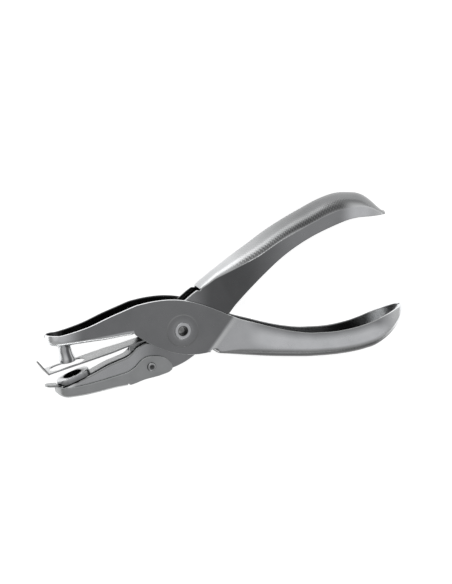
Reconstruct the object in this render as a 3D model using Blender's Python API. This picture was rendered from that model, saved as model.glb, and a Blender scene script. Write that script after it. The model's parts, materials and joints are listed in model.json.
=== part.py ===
"""Single-hole plier punch of pressed steel, lying on its side.

Two U-section levers cross at a hollow rivet. The outer lever is the upper jaw and the
lower handle, and its channel opens upward. The inner lever is the lower jaw and the
upper handle, and its channel opens downward. The outer jaw carries the punch, the inner
jaw carries the die, the stripper plate and the swinging chip tray.

Shapes are drawn in millimetres about the pivot: X towards the handles, Y from the lower
handle to the upper one, Z along the pivot. place() then puts the whole tool in its own
frame, with the origin under the middle of its bounding box.
"""

import math

import bmesh
import bpy
from mathutils import Matrix, Vector

MM = 0.001

# Frame: where the pivot's centre lies in the finished part
PIVOT_X = -16.51
PIVOT_Y = -12.24
PIVOT_Z = 7.3

# Levers
SHEET = 1.0
GAP = 0.3
OUTER_HALF = 5.2
HANDLE_HALF = 7.3
INNER_HALF = OUTER_HALF - SHEET - GAP
STATION_STEP = 5.5
TIP_STEPS = 6
TIP_ANGLE = math.radians(87)

# Pivot
RIVET_HOLE_R = 2.65
RIVET_R = 2.4
RIVET_BORE_R = 1.6
RIVET_FLANGE_R = 3.0
RIVET_FLANGE = 0.55
BUSH_IN_R = 2.7
BUSH_OUT_R = 3.3

# Jaw line of the inner lever, and the die on it
JAW_ANGLE = math.radians(21.5)
JAW_ALONG = Vector((math.cos(JAW_ANGLE), math.sin(JAW_ANGLE), 0))
JAW_UP = Vector((-math.sin(JAW_ANGLE), math.cos(JAW_ANGLE), 0))
DIE_FOOT = Vector((-38.6, -15.95, 0))
DIE_HOLE_R = 3.45
DIE_HALF = 3.9
DIE_FRONT = 6.2
DIE_REAR = 6.2
DIE_HEIGHT = 2.1
CHIP_HOLE_R = 3.6

# Punch
PUNCH_END = Vector((-41.0, -9.5, 0))
PUNCH_ANGLE = math.radians(12.2)
PUNCH_R = 3.0
PUNCH_WAIST_R = 2.4
PUNCH_SHANK_R = 1.8
PUNCH_HOLE_R = 2.1
PUNCH_HEAD_R = 2.4
PUNCH_LENGTH = 5.6
PUNCH_CUP = 0.35
PUNCH_LAND = 1.1
PUNCH_FLARE = 4.2
PUNCH_DOME = 0.7
PLATE_PIN_R = 1.3
THROUGH = 9.0
RIVET_LIFT = 0.2
RIVET_EDGE = 0.15
WEB_SLOPE = math.radians(6.2)

# Stripper plate
PLATE = 0.55
PLATE_FRONT = Vector((-48.9, -12.5, 0))
PLATE_ANGLE = math.radians(15.4)
PLATE_LENGTH = 41.0
PLATE_FRONT_HALF = 4.5
PLATE_REAR_HALF = 3.5
PLATE_NECK = (24.0, 29.0)
SLOT_HALF = 3.7
SLOT_START = 1.2
SLOT_END = 14.4
TONGUE = 4.9
TONGUE_ANGLE = math.radians(112.8)
STOP_AT = 30.6
STOP_WIDTH = 1.5
STOP_DROP = 2.2
PLATE_RIVET_AT = 39.0

# Chip tray
TRAY_SHEET = 0.7
TRAY_HALF = 4.9
TRAY_PIN = Vector((-11.5, -12.4, 0))
TRAY_PIN_R = 1.1
TRAY_PIN_HOLE_R = 1.35
TRAY_PIN_HEAD_R = 1.65
TRAY_PIN_HEAD = 0.6
THUMB_AT = Vector((-46.9, -18.1, 0))
THUMB = 0.8
THUMB_HALF = 2.5
THUMB_REAR = 2.1

# Return spring
WIRE_R = 0.5
COIL_R = 4.6
COIL_HALF = 2.1
COIL_TURNS = 3
LOWER_LEG_END = Vector((23.0, -7.3, 0))
UPPER_LEG_BEND = Vector((3.6, 9.5, 0))
UPPER_LEG_END = Vector((20.5, 22.3, 0))

# Stations of the outer lever: rim x, y; web x, y; half width; corner radius; crown angle
OUTER_STATIONS = [
    (-44.5, 0.5, -44.5, -3.75, 4.95, 2.3, 14),
    (-40.0, 1.6, -40.0, -3.35, 5.1, 2.2, 12),
    (-34.0, 3.5, -34.0, -2.55, 5.2, 1.9, 6),
    (-27.4, 6.3, -27.0, -1.7, 5.2, 1.5, 0),
    (-21.5, 8.5, -21.0, -0.8, 5.2, 1.3, 0),
    (-17.0, 10.15, -18.0, -0.6, 5.2, 0.5, 0),
    (-16.4, 10.25, -17.5, -0.7, 5.2, 0.5, 0),
    (-12.0, 11.05, -14.6, -2.4, 5.2, 0.4, 0),
    (-6.0, 11.5, -10.4, -5.0, 5.2, 0.4, 0),
    (0.5, 10.95, -5.2, -7.3, 5.2, 0.4, 0),
    (7.0, 9.2, 0.6, -8.7, 5.2, 0.4, 0),
    (13.0, 6.8, 5.2, -9.0, 5.2, 0.4, 0),
    (18.4, 4.3, 8.8, -8.7, 5.2, 0.4, 0),
    (19.6, 3.75, 10.0, -8.6, 5.35, 0.5, 0),
    (21.2, 3.1, 11.6, -8.65, 5.95, 0.6, 0),
    (23.0, 2.5, 13.6, -9.1, 6.1, 1.2, 5),
    (28.0, 1.05, 20.0, -10.2, 6.5, 3.0, 10),
    (34.0, -0.8, 29.0, -11.45, 6.9, 3.4, 12),
    (42.0, -2.75, 39.5, -12.45, 7.2, 3.5, 12),
    (50.0, -3.7, 49.5, -13.0, HANDLE_HALF, 3.5, 12),
    (58.0, -3.65, 58.0, -12.9, HANDLE_HALF, 3.5, 12),
    (66.0, -2.5, 66.2, -12.15, HANDLE_HALF, 3.5, 12),
    (72.0, -0.85, 72.6, -10.75, HANDLE_HALF, 3.5, 12),
]
OUTER_WEB_GAP = (-18.0, 13.6)
OUTER_JAW_TIP = Vector((-49.5, 0.6, 0))
OUTER_JAW_POWER = 0.35
OUTER_HANDLE_TIP = Vector((85.3, 4.6, 0))
OUTER_HANDLE_POWER = 1.0
NOTCH_AT = Vector((11.9, -8.9, 0))
NOTCH_R = 1.7

# Stations of the inner lever, in the same order of values
INNER_STATIONS = [
    (-39.9, -19.4, -40.7, -16.85, INNER_HALF, 1.5, 0),
    (-36.5, -19.3, -37.5, -15.5, INNER_HALF, 1.5, 0),
    (-31.2, -18.8, -32.1, -13.2, INNER_HALF, 1.5, 0),
    (-25.5, -17.9, -26.6, -10.55, INNER_HALF, 1.5, 0),
    (-21.0, -17.2, -22.0, -8.95, INNER_HALF, 1.5, 0),
    (-18.2, -16.7, -18.9, -7.7, INNER_HALF, 1.4, 0),
    (-15.8, -16.2, -17.0, -5.7, INNER_HALF, 1.2, 0),
    (-13.2, -15.7, -14.5, -4.2, INNER_HALF, 1.0, 0),
    (-11.0, -15.3, -12.2, -3.2, INNER_HALF, 0.8, 0),
    (-8.2, -14.7, -9.0, -2.2, INNER_HALF, 0.4, 0),
    (-5.6, -14.1, -8.2, 1.6, INNER_HALF, 0.4, 0),
    (-2.8, -13.4, -6.0, 5.0, INNER_HALF, 0.4, 0),
    (1.5, -11.6, -2.2, 8.1, INNER_HALF, 0.4, 0),
    (5.1, -9.3, 1.4, 10.8, INNER_HALF, 0.4, 0),
    (9.5, -5.7, 4.2, 13.0, INNER_HALF, 0.4, 0),
    (12.2, -2.8, 5.9, 14.2, INNER_HALF, 0.4, 0),
    (13.8, -0.8, 7.4, 16.3, INNER_HALF, 1.0, 35),
    (17.2, 3.9, 9.9, 18.2, INNER_HALF, 1.0, 45),
    (19.4, 6.8, 12.0, 19.85, 4.0, 1.0, 50),
    (22.4, 10.5, 15.6, 22.4, 4.9, 1.0, 55),
    (26.0, 14.65, 20.3, 25.65, 6.0, 1.0, 58),
    (30.5, 19.35, 26.2, 29.35, 6.9, 1.0, 60),
    (36.0, 24.3, 32.6, 33.65, HANDLE_HALF, 1.0, 60),
    (42.0, 28.45, 39.5, 37.6, HANDLE_HALF, 1.0, 64),
    (48.5, 32.0, 46.6, 41.2, HANDLE_HALF, 1.0, 68),
    (55.5, 34.95, 54.4, 44.75, HANDLE_HALF, 1.0, 70),
    (62.0, 37.2, 61.6, 46.3, HANDLE_HALF, 1.0, 70),
    (66.1, 37.9, 66.0, 46.05, HANDLE_HALF, 1.0, 70),
]
INNER_WEB_GAP = (-9.0, 7.35)
INNER_JAW_TIP = Vector((-43.3, -20.9, 0))
INNER_JAW_POWER = 0.5
INNER_HANDLE_TIP = Vector((78.4, 37.9, 0))
INNER_HANDLE_POWER = 3.3

# Stations of the tray's walls, front to rear
TRAY_STATIONS = [
    (-42.3, -18.2, -41.8, -21.85, TRAY_HALF, 1.1, 0),
    (-36.0, -17.4, -35.5, -21.3, TRAY_HALF, 1.1, 0),
    (-29.5, -16.1, -29.0, -20.2, TRAY_HALF, 1.1, 0),
    (-24.0, -14.8, -23.5, -19.2, TRAY_HALF, 1.1, 0),
    (-20.4, -13.9, -19.8, -18.75, TRAY_HALF, 0.5, 0),
    (-20.1, -13.8, -19.5, -18.68, TRAY_HALF, 0.5, 0),
    (-17.6, -12.3, -17.2, -18.05, TRAY_HALF, 0.4, 0),
    (-14.9, -9.6, -14.5, -17.1, TRAY_HALF, 0.4, 0),
    (-12.2, -8.5, -11.8, -16.5, TRAY_HALF, 0.4, 0),
    (-9.6, -8.6, -9.0, -16.0, TRAY_HALF, 0.4, 0),
    (-7.2, -9.0, -6.6, -15.3, TRAY_HALF, 0.4, 0),
    (-5.2, -10.2, -4.8, -14.75, TRAY_HALF, 0.4, 0),
    (-3.6, -12.2, -3.6, -13.75, TRAY_HALF, 0.2, 0),
]
TRAY_WEB_END = -19.9
TRAY_TIP = Vector((-45.8, -17.7, 0))
TRAY_TIP_POWER = 0.3

FINISHES = {
    "nickel_plate": ((0.55, 0.56, 0.56, 1), 0.28),
    "satin_nickel": ((0.42, 0.43, 0.43, 1), 0.42),
    "bright_nickel": ((0.74, 0.75, 0.76, 1), 0.14),
    "spring_steel": ((0.5, 0.5, 0.49, 1), 0.3),
}


def clear_scene():
    for item in list(bpy.data.objects):
        bpy.data.objects.remove(item)


def finish_material(name):
    colour, roughness = FINISHES[name]
    material = bpy.data.materials.get(name) or bpy.data.materials.new(name)
    material.use_nodes = True
    shader = material.node_tree.nodes["Principled BSDF"]
    shader.inputs["Base Color"].default_value = colour
    shader.inputs["Metallic"].default_value = 1.0
    shader.inputs["Roughness"].default_value = roughness
    return material


def place(point):
    """A point in millimetres about the pivot, as metres in the part's frame."""
    return Vector((point[0] + PIVOT_X, point[1] + PIVOT_Y, point[2] + PIVOT_Z)) * MM


def add_object(name, bm, finish, origin):
    """Makes an object of a mesh drawn about the pivot, with its origin on a joint axis."""
    start = place(origin)
    for vert in bm.verts:
        vert.co = place(vert.co) - start
    mesh = bpy.data.meshes.new(name)
    bm.to_mesh(mesh)
    bm.free()
    mesh.materials.append(finish_material(finish))
    mesh.shade_smooth()
    mesh.set_sharp_from_angle(angle=math.radians(35))
    item = bpy.data.objects.new(name, mesh)
    item.location = start
    bpy.context.scene.collection.objects.link(item)
    return item


def spread(rows, step):
    """Rows between the given ones, on smooth curves that never overshoot a row."""
    middles = [Vector(((r[0] + r[2]) / 2, (r[1] + r[3]) / 2)) for r in rows]
    at = [0.0]
    for a, b in zip(middles, middles[1:]):
        at.append(at[-1] + (b - a).length)
    last = len(rows) - 1
    slopes = []
    for i, row in enumerate(rows):
        low, high = max(i - 1, 0), min(i + 1, last)
        run = at[high] - at[low]
        slope = []
        for p, q, r in zip(rows[low], row, rows[high]):
            is_peak = low < i < high and (q - p) * (r - q) <= 0
            slope.append(0.0 if is_peak else (r - p) / run)
        slopes.append(slope)
    out = []
    for i in range(last):
        run = at[i + 1] - at[i]
        pieces = math.ceil(run / step)
        for k in range(pieces):
            t = k / pieces
            ease = t * t * (3 - 2 * t)
            leave = t * (1 - t) ** 2 * run
            arrive = t * t * (t - 1) * run
            row = []
            for p, q, m, n in zip(rows[i], rows[i + 1], slopes[i], slopes[i + 1]):
                row.append(p + (q - p) * ease + m * leave + n * arrive)
            out.append(row)
    out.append(list(rows[-1]))
    return out


def inset(rows, sheet):
    """The inside skin of a channel whose outside skin the rows give."""
    out = []
    for ex, ey, wx, wy, half, radius, crown in rows:
        edge, web = Vector((ex, ey)), Vector((wx, wy))
        web += (edge - web).normalized() * sheet
        out.append((ex, ey, web.x, web.y, half - sheet, max(radius - sheet, 0.25), crown))
    return out


def tip(row, end, power, sheet, steps):
    """Rows that close a channel's end: a half ellipse in plan, from a row to the end."""
    edge, web = Vector(row[0:2]), Vector(row[2:4])
    down = web - edge
    run = Vector(end[0:2]) - edge
    run -= run.normalized() * sheet
    out = []
    for k in range(1, steps + 1):
        angle = TIP_ANGLE * k / steps
        near = edge + run * math.sin(angle)
        far = near + down * math.cos(angle) ** power
        shrink = math.cos(angle)
        out.append((*near, *far, row[4] * shrink, row[5] * shrink, row[6]))
    return out


def section(half, depth, radius, crown):
    """Half a U section from its rim to the middle of its web, as (z, depth) pairs."""
    radius = min(radius, 0.4 * half, 0.35 * depth)
    steepest = 2 * math.atan(0.5 * (depth - radius) / half)
    crown = min(max(math.radians(crown), 0.01), steepest)
    reach = half - radius * (1 - math.sin(crown))
    round_r = reach / math.sin(crown)
    wall_end = depth - round_r * (1 - math.cos(crown)) - radius * math.cos(crown)
    pairs = [(half, 0.0), (half, wall_end)]
    for k in (1, 2):
        turn = (math.pi / 2 - crown) * k / 2
        z = half - radius + radius * math.cos(turn)
        pairs.append((z, wall_end + radius * math.sin(turn)))
    for k in (1, 2):
        lean = crown * (1 - k / 2)
        pairs.append((round_r * math.sin(lean), depth - round_r * (1 - math.cos(lean))))
    return pairs


def channel(rows, web_is_open, sheet):
    """A U channel's skin as a mesh, with its faces pointing out of the channel.

    Where the web is left out, the side walls run on to where its outer face would be.
    """
    bm = bmesh.new()
    opens = [web_is_open(a, b) for a, b in zip(rows, rows[1:])]
    grid = []
    for row, before, after in zip(rows, [opens[0], *opens], [*opens, opens[-1]]):
        edge, web = Vector((*row[0:2], 0)), Vector((*row[2:4], 0))
        depth = (web - edge).length
        down = (web - edge) / depth
        half_section = section(row[4], depth, row[5], row[6])
        if before and after:
            stretch = (depth + sheet) / half_section[1][1]
            half_section = [(z, v * stretch) for z, v in half_section]
        near = [edge + down * v + Vector((0, 0, z)) for z, v in half_section]
        far = [Vector((p.x, p.y, -p.z)) for p in reversed(near[:-1])]
        grid.append([bm.verts.new(p) for p in near + far])
    columns = len(grid[0]) - 1
    for i, (a, b) in enumerate(zip(grid, grid[1:])):
        for j in range(columns):
            is_web = 1 <= j < columns - 1
            if is_web and opens[i]:
                continue
            bm.faces.new((a[j], a[j + 1], b[j + 1], b[j]))
    loose = [v for v in bm.verts if not v.link_faces]
    bmesh.ops.delete(bm, geom=loose, context="VERTS")
    bm.normal_update()
    first = next(f for f in bm.faces if abs(f.normal.z) > 0.9 and f.verts[0].co.z > 0)
    if first.normal.z < 0:
        bmesh.ops.reverse_faces(bm, faces=bm.faces)
    return bm


def thicken(item, sheet):
    skin = item.modifiers.new("sheet", "SOLIDIFY")
    skin.thickness = sheet * MM
    skin.offset = 1.0
    skin.use_even_offset = True


def cutter(name, bm, target, operation="DIFFERENCE"):
    """Takes the mesh out of the target with a Boolean, or adds it."""
    tool = add_object(name, bm, "nickel_plate", (0, 0, 0))
    tool.hide_render = True
    tool.display_type = "WIRE"
    cut = target.modifiers.new(name, "BOOLEAN")
    cut.operation = operation
    cut.object = tool
    return tool


def turned(profile, sides, centre, axis_angle=0.0, along_z=True):
    """A closed profile of (radius, height) pairs turned about an axis.

    The axis is Z, or else the direction in the XY plane that leans axis_angle from +Y.
    """
    bm = bmesh.new()
    rings = []
    for k in range(sides):
        turn = 2 * math.pi * k / sides
        ring = []
        for radius, height in profile:
            point = Vector((radius * math.cos(turn), radius * math.sin(turn), height))
            ring.append(bm.verts.new(point))
        rings.append(ring)
    count = len(profile)
    for k in range(sides):
        a, b = rings[k], rings[(k + 1) % sides]
        for j in range(count):
            n = (j + 1) % count
            bm.faces.new((a[j], b[j], b[n], a[n]))
    bmesh.ops.remove_doubles(bm, verts=bm.verts, dist=1e-4)
    bmesh.ops.recalc_face_normals(bm, faces=bm.faces)
    if not along_z:
        stand = Matrix.Rotation(-math.pi / 2, 4, "X")
        lean = Matrix.Rotation(axis_angle, 4, "Z")
        bmesh.ops.transform(bm, matrix=lean @ stand, verts=bm.verts)
    bmesh.ops.translate(bm, vec=centre, verts=bm.verts)
    return bm


def rod(radius, low, high, sides, centre, axis_angle=0.0, along_z=True):
    """A plain round rod between two heights along its axis."""
    profile = [(0, high), (radius, high), (radius, low), (0, low)]
    return turned(profile, sides, centre, axis_angle, along_z)


def slab(outline, low, high, to_point):
    """A flat plate: an outline of (along, across) pairs between two heights."""
    bm = bmesh.new()
    bottom = [bm.verts.new(to_point(a, low, c)) for a, c in outline]
    face = bm.faces.new(bottom)
    grown = bmesh.ops.extrude_face_region(bm, geom=[face])
    lift = to_point(0, high, 0) - to_point(0, low, 0)
    moved = [v for v in grown["geom"] if isinstance(v, bmesh.types.BMVert)]
    bmesh.ops.translate(bm, vec=lift, verts=moved)
    bmesh.ops.recalc_face_normals(bm, faces=bm.faces)
    return bm


def stadium(front, rear, half, steps):
    """An outline of (along, across) pairs: two half circles joined by straight sides."""
    out = []
    for k in range(steps + 1):
        turn = math.pi * (k / steps - 0.5)
        out.append((rear - half + half * math.cos(turn), half * math.sin(turn)))
    for k in range(steps + 1):
        turn = math.pi * (k / steps + 0.5)
        out.append((-front + half + half * math.cos(turn), half * math.sin(turn)))
    return out


def jaw_point(along, up, across):
    return DIE_FOOT + JAW_ALONG * along + JAW_UP * up + Vector((0, 0, across))


def thumb_point(along, up, across):
    return THUMB_AT + Vector((along, up, across))


def plate_point(along, up, across):
    """A point on the stripper plate, whose front tongue turns up behind the bend."""
    direction = Vector((math.cos(PLATE_ANGLE), math.sin(PLATE_ANGLE), 0))
    normal = Vector((-direction.y, direction.x, 0))
    if along >= 0:
        return PLATE_FRONT + direction * along + normal * up + Vector((0, 0, across))
    turned_up = PLATE_ANGLE + TONGUE_ANGLE
    ray = Vector((math.cos(turned_up), math.sin(turned_up), 0))
    return PLATE_FRONT - ray * along + Vector((0, 0, across))


def make_outer_lever():
    rows = inset(spread(OUTER_STATIONS, STATION_STEP), SHEET)
    nose = tip(rows[0], OUTER_JAW_TIP, OUTER_JAW_POWER, SHEET, TIP_STEPS)
    end = tip(rows[-1], OUTER_HANDLE_TIP, OUTER_HANDLE_POWER, SHEET, TIP_STEPS)
    rows = nose[::-1] + rows + end

    def is_open(a, b):
        middle = (a[2] + b[2]) / 2
        return OUTER_WEB_GAP[0] < middle < OUTER_WEB_GAP[1]

    bm = channel(rows, is_open, SHEET)
    lever = add_object("outer_lever", bm, "nickel_plate", (0, 0, 0))
    thicken(lever, SHEET)
    cutter("cut_outer_pivot", rod(RIVET_HOLE_R, -THROUGH, THROUGH, 32, Vector()), lever)
    cutter("cut_notch", rod(NOTCH_R, -THROUGH, THROUGH, 24, NOTCH_AT), lever)
    hole = rod(PUNCH_HOLE_R, PUNCH_FLARE, THROUGH, 24, PUNCH_END, PUNCH_ANGLE, False)
    cutter("cut_punch_seat", hole, lever)


def make_inner_lever():
    rows = inset(spread(INNER_STATIONS, STATION_STEP), SHEET)
    nose = tip(rows[0], INNER_JAW_TIP, INNER_JAW_POWER, SHEET, TIP_STEPS)
    end = tip(rows[-1], INNER_HANDLE_TIP, INNER_HANDLE_POWER, SHEET, TIP_STEPS)
    rows = nose[::-1] + rows + end

    def is_open(a, b):
        middle = (a[2] + b[2]) / 2
        return INNER_WEB_GAP[0] < middle < INNER_WEB_GAP[1]

    bm = channel(rows, is_open, SHEET)
    lever = add_object("inner_lever", bm, "nickel_plate", (0, 0, 0))
    thicken(lever, SHEET)
    cutter("cut_inner_pivot", rod(RIVET_HOLE_R, -THROUGH, THROUGH, 32, Vector()), lever)
    cutter("cut_inner_tray_pin", rod(TRAY_PIN_HOLE_R, -THROUGH, THROUGH, 16, TRAY_PIN), lever)
    chips = rod(CHIP_HOLE_R, -1.5, 1.5, 32, DIE_FOOT, JAW_ANGLE, False)
    cutter("cut_chip_hole", chips, lever)
    seat = plate_point(PLATE_RIVET_AT, 0, 0)
    cutter("cut_plate_seat", rod(PLATE_PIN_R, -THROUGH / 4, THROUGH / 4, 16, seat, PLATE_ANGLE, False), lever)


def make_pivot():
    face = OUTER_HALF + RIVET_LIFT
    top = face + RIVET_FLANGE
    edge = RIVET_FLANGE_R - RIVET_EDGE
    lip = (RIVET_FLANGE_R + RIVET_BORE_R) / 2
    outside = [(edge, top - RIVET_EDGE), (RIVET_FLANGE_R, top - 2 * RIVET_EDGE), (edge, face)]
    flare = (RIVET_BORE_R + RIVET_EDGE, top - RIVET_EDGE / 2)
    upper = [(RIVET_BORE_R, top - 2 * RIVET_EDGE), flare, (lip, top), *outside]
    half = upper + [(RIVET_R, face)]
    profile = half + [(r, -z) for r, z in reversed(half)]
    rivet = turned(profile, 28, Vector())
    add_object("pivot_rivet", rivet, "bright_nickel", (0, 0, 0))
    reach = INNER_HALF - SHEET - GAP
    ring = [(BUSH_IN_R, reach), (BUSH_OUT_R, reach), (BUSH_OUT_R, -reach), (BUSH_IN_R, -reach)]
    add_object("pivot_bushing", turned(ring, 24, Vector()), "spring_steel", (0, 0, 0))


def tangent_angle(end, side):
    """Where a straight leg to the end leaves the coil, on one side of it."""
    reach = math.acos(COIL_R / end.length)
    return math.atan2(end.y, end.x) + side * reach


def make_spring():
    start = tangent_angle(LOWER_LEG_END, -1)
    finish = tangent_angle(UPPER_LEG_BEND, 1)
    sweep = (start - finish) % (2 * math.pi) + 2 * math.pi * COIL_TURNS
    steps = 16 * (COIL_TURNS + 1)
    points = [LOWER_LEG_END + Vector((0, 0, -COIL_HALF))]
    for k in range(steps + 1):
        turn = start - sweep * k / steps
        z = COIL_HALF * (2 * k / steps - 1)
        points.append(Vector((COIL_R * math.cos(turn), COIL_R * math.sin(turn), z)))
    points.append(UPPER_LEG_BEND + Vector((0, 0, COIL_HALF)))
    points.append(UPPER_LEG_END + Vector((0, 0, COIL_HALF)))
    data = bpy.data.curves.new("return_spring", "CURVE")
    data.dimensions = "3D"
    data.bevel_depth = WIRE_R * MM
    data.bevel_resolution = 2
    data.use_fill_caps = True
    wire = data.splines.new("POLY")
    wire.points.add(len(points) - 1)
    origin = place((0, 0, 0))
    for knot, point in zip(wire.points, points):
        knot.co = (*(place(point) - origin), 1)
    data.materials.append(finish_material("spring_steel"))
    item = bpy.data.objects.new("return_spring", data)
    item.location = origin
    bpy.context.scene.collection.objects.link(item)


def make_punch():
    """A flared punch, riveted over inside the jaw; its top is cut to the web's slope."""
    web = PUNCH_LENGTH + SHEET + 3 * GAP
    profile = [
        (0, PUNCH_CUP),
        (PUNCH_R / 2, PUNCH_CUP / 2),
        (PUNCH_R, 0),
        (PUNCH_R, PUNCH_LAND),
        ((PUNCH_R + 3 * PUNCH_WAIST_R) / 4, (PUNCH_LAND + PUNCH_FLARE) / 2),
        (PUNCH_WAIST_R, PUNCH_FLARE),
        (PUNCH_WAIST_R, PUNCH_LENGTH),
        (PUNCH_SHANK_R, PUNCH_LENGTH),
        (PUNCH_SHANK_R, web),
        (PUNCH_HEAD_R, web),
        (PUNCH_HEAD_R - PUNCH_DOME / 3, web + PUNCH_DOME * 2 / 3),
        (0, web + PUNCH_DOME),
    ]
    bm = turned(profile, 32, Vector())
    skew = math.tan(PUNCH_ANGLE - WEB_SLOPE)
    for vert in bm.verts:
        if vert.co.z > PUNCH_FLARE + GAP:
            vert.co.z -= vert.co.x * skew
    stand = Matrix.Rotation(-math.pi / 2, 4, "X")
    lean = Matrix.Rotation(PUNCH_ANGLE, 4, "Z")
    bmesh.ops.transform(bm, matrix=lean @ stand, verts=bm.verts)
    bmesh.ops.translate(bm, vec=PUNCH_END, verts=bm.verts)
    add_object("punch_pin", bm, "bright_nickel", (0, 0, 0))


def make_die():
    outline = stadium(DIE_FRONT, DIE_REAR, DIE_HALF, 10)
    body = slab(outline, GAP, DIE_HEIGHT, jaw_point)
    die = add_object("die_boss", body, "bright_nickel", (0, 0, 0))
    hole = rod(DIE_HOLE_R, -1, 4, 32, DIE_FOOT, JAW_ANGLE, False)
    cutter("cut_die_hole", hole, die)


def make_stripper():
    """A strip with a slot for the punch, an upturned front tongue and two paper stops."""
    stops = [STOP_AT, STOP_AT + STOP_WIDTH]
    marks = [-TONGUE, -TONGUE * 0.5, 0, SLOT_START, SLOT_END, *PLATE_NECK, *stops]
    marks += [PLATE_LENGTH - 2, PLATE_LENGTH]
    bm = bmesh.new()
    rows = []
    for along in marks:
        share = min(max((along - PLATE_NECK[0]) / (PLATE_NECK[1] - PLATE_NECK[0]), 0), 1)
        half = PLATE_FRONT_HALF + (PLATE_REAR_HALF - PLATE_FRONT_HALF) * share
        if along < 0:
            half *= 1 + 0.85 * along / TONGUE
        if along == PLATE_LENGTH:
            half *= 0.6
        rows.append([bm.verts.new(plate_point(along, 0, c)) for c in (half, 0, -half)])
    for a, b in zip(rows, rows[1:]):
        for j in (0, 1):
            bm.faces.new((a[j], b[j], b[j + 1], a[j + 1]))
    first, second = rows[marks.index(stops[0])], rows[marks.index(stops[1])]
    for side in (0, 2):
        corners = [first[side], second[side]]
        sign = 1 if side == 0 else -1
        drops = []
        for corner in reversed(corners):
            low = corner.co + Vector((0.25, -STOP_DROP, 0.3 * sign))
            drops.append(bm.verts.new(low))
        bm.faces.new(corners + drops)
    bmesh.ops.recalc_face_normals(bm, faces=bm.faces)
    if sum(f.normal.y for f in bm.faces) < 0:
        bmesh.ops.reverse_faces(bm, faces=bm.faces)
    plate = add_object("stripper_plate", bm, "satin_nickel", (0, 0, 0))
    skin = plate.modifiers.new("sheet", "SOLIDIFY")
    skin.thickness = PLATE * MM
    skin.offset = -1.0
    skin.use_even_offset = True
    slot = slab(stadium(-SLOT_START, SLOT_END, SLOT_HALF, 10), -2, 2, plate_point)
    cutter("cut_slot", slot, plate)
    seat = plate_point(PLATE_RIVET_AT, 0, 0)
    cutter("cut_plate_hole", rod(1.3, -2, 2, 16, seat, PLATE_ANGLE, False), plate)
    under = -PLATE - SHEET - 2 * GAP
    profile = [
        (0, 0.9),
        (1.1, 0.8),
        (1.7, 0.2),
        (1.0, 0.2),
        (1.0, under),
        (1.6, under),
        (1.5, under - 0.5),
        (0, under - 0.5),
    ]
    rivet = turned(profile, 16, seat, PLATE_ANGLE, False)
    add_object("stripper_rivet", rivet, "bright_nickel", (0, 0, 0))


def make_tray():
    """The tray: two ears, a floor and a rounded front in one sheet, with a thumb tab."""
    rows = inset(spread(TRAY_STATIONS, STATION_STEP), TRAY_SHEET)
    rows = tip(rows[0], TRAY_TIP, TRAY_TIP_POWER, TRAY_SHEET, TIP_STEPS)[::-1] + rows

    def is_open(a, b):
        return (a[2] + b[2]) / 2 > TRAY_WEB_END

    bm = channel(rows, is_open, TRAY_SHEET)
    tray = add_object("chip_tray", bm, "satin_nickel", TRAY_PIN)
    thicken(tray, TRAY_SHEET)
    outline = [(THUMB_REAR, -THUMB_HALF), (THUMB_REAR, THUMB_HALF)]
    for k in range(13):
        turn = math.pi * k / 12
        outline.append((-THUMB_HALF * math.sin(turn), THUMB_HALF * math.cos(turn)))
    tab = slab(outline, 0, THUMB, thumb_point)
    cutter("add_thumb_tab", tab, tray, "UNION")
    cutter("cut_tray_pin", rod(TRAY_PIN_HOLE_R, -THROUGH, THROUGH, 16, TRAY_PIN), tray)
    face = TRAY_HALF + 0.2
    top = face + TRAY_PIN_HEAD
    half = [(0, top - 0.35), (0.7, top - 0.25), (1.0, top), (1.45, top - 0.1), (TRAY_PIN_HEAD_R, face)]
    half.append((TRAY_PIN_R, face))
    profile = half + [(r, -z) for r, z in reversed(half)]
    pin = turned(profile, 16, TRAY_PIN)
    add_object("tray_rivet", pin, "satin_nickel", TRAY_PIN)


def main():
    clear_scene()
    make_outer_lever()
    make_inner_lever()
    make_pivot()
    make_spring()
    make_punch()
    make_die()
    make_stripper()
    make_tray()


main()
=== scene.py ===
"""Looks of the single-hole plier punch: pressed, nickel-plated levers round a hollow rivet.

The fine sheet-metal meshes are drawn in millimetres about the pivot, with X towards the
handles, Y from the lower handle to the upper one and Z along the pivot, as in the CAD.
"""

import json
import math

import bmesh
import bpy
import numpy as np
from mathutils import Matrix, Vector
from mathutils.kdtree import KDTree


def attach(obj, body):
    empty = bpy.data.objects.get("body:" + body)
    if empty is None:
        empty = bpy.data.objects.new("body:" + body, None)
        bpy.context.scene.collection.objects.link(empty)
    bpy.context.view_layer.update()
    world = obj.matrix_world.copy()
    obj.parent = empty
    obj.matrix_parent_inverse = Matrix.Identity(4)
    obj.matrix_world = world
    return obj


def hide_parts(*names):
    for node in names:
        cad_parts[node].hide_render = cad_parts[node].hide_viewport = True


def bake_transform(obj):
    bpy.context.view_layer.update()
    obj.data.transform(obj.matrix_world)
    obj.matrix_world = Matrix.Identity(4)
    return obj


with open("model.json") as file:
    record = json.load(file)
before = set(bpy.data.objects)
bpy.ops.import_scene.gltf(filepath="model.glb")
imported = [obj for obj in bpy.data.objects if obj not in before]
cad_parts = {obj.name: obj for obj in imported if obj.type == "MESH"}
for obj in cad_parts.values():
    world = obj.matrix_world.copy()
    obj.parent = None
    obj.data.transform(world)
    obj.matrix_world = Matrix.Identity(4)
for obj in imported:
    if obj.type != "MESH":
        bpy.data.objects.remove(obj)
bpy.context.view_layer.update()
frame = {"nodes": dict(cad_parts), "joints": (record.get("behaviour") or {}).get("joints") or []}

MM = 0.001
JOINTS = {joint["name"]: joint for joint in frame["joints"]}
PIVOT = Vector(JOINTS["lever_pivot"]["pos_m"]) / MM
TRAY_PIN = Vector(JOINTS["tray_swing"]["pos_m"]) / MM - PIVOT

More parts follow.
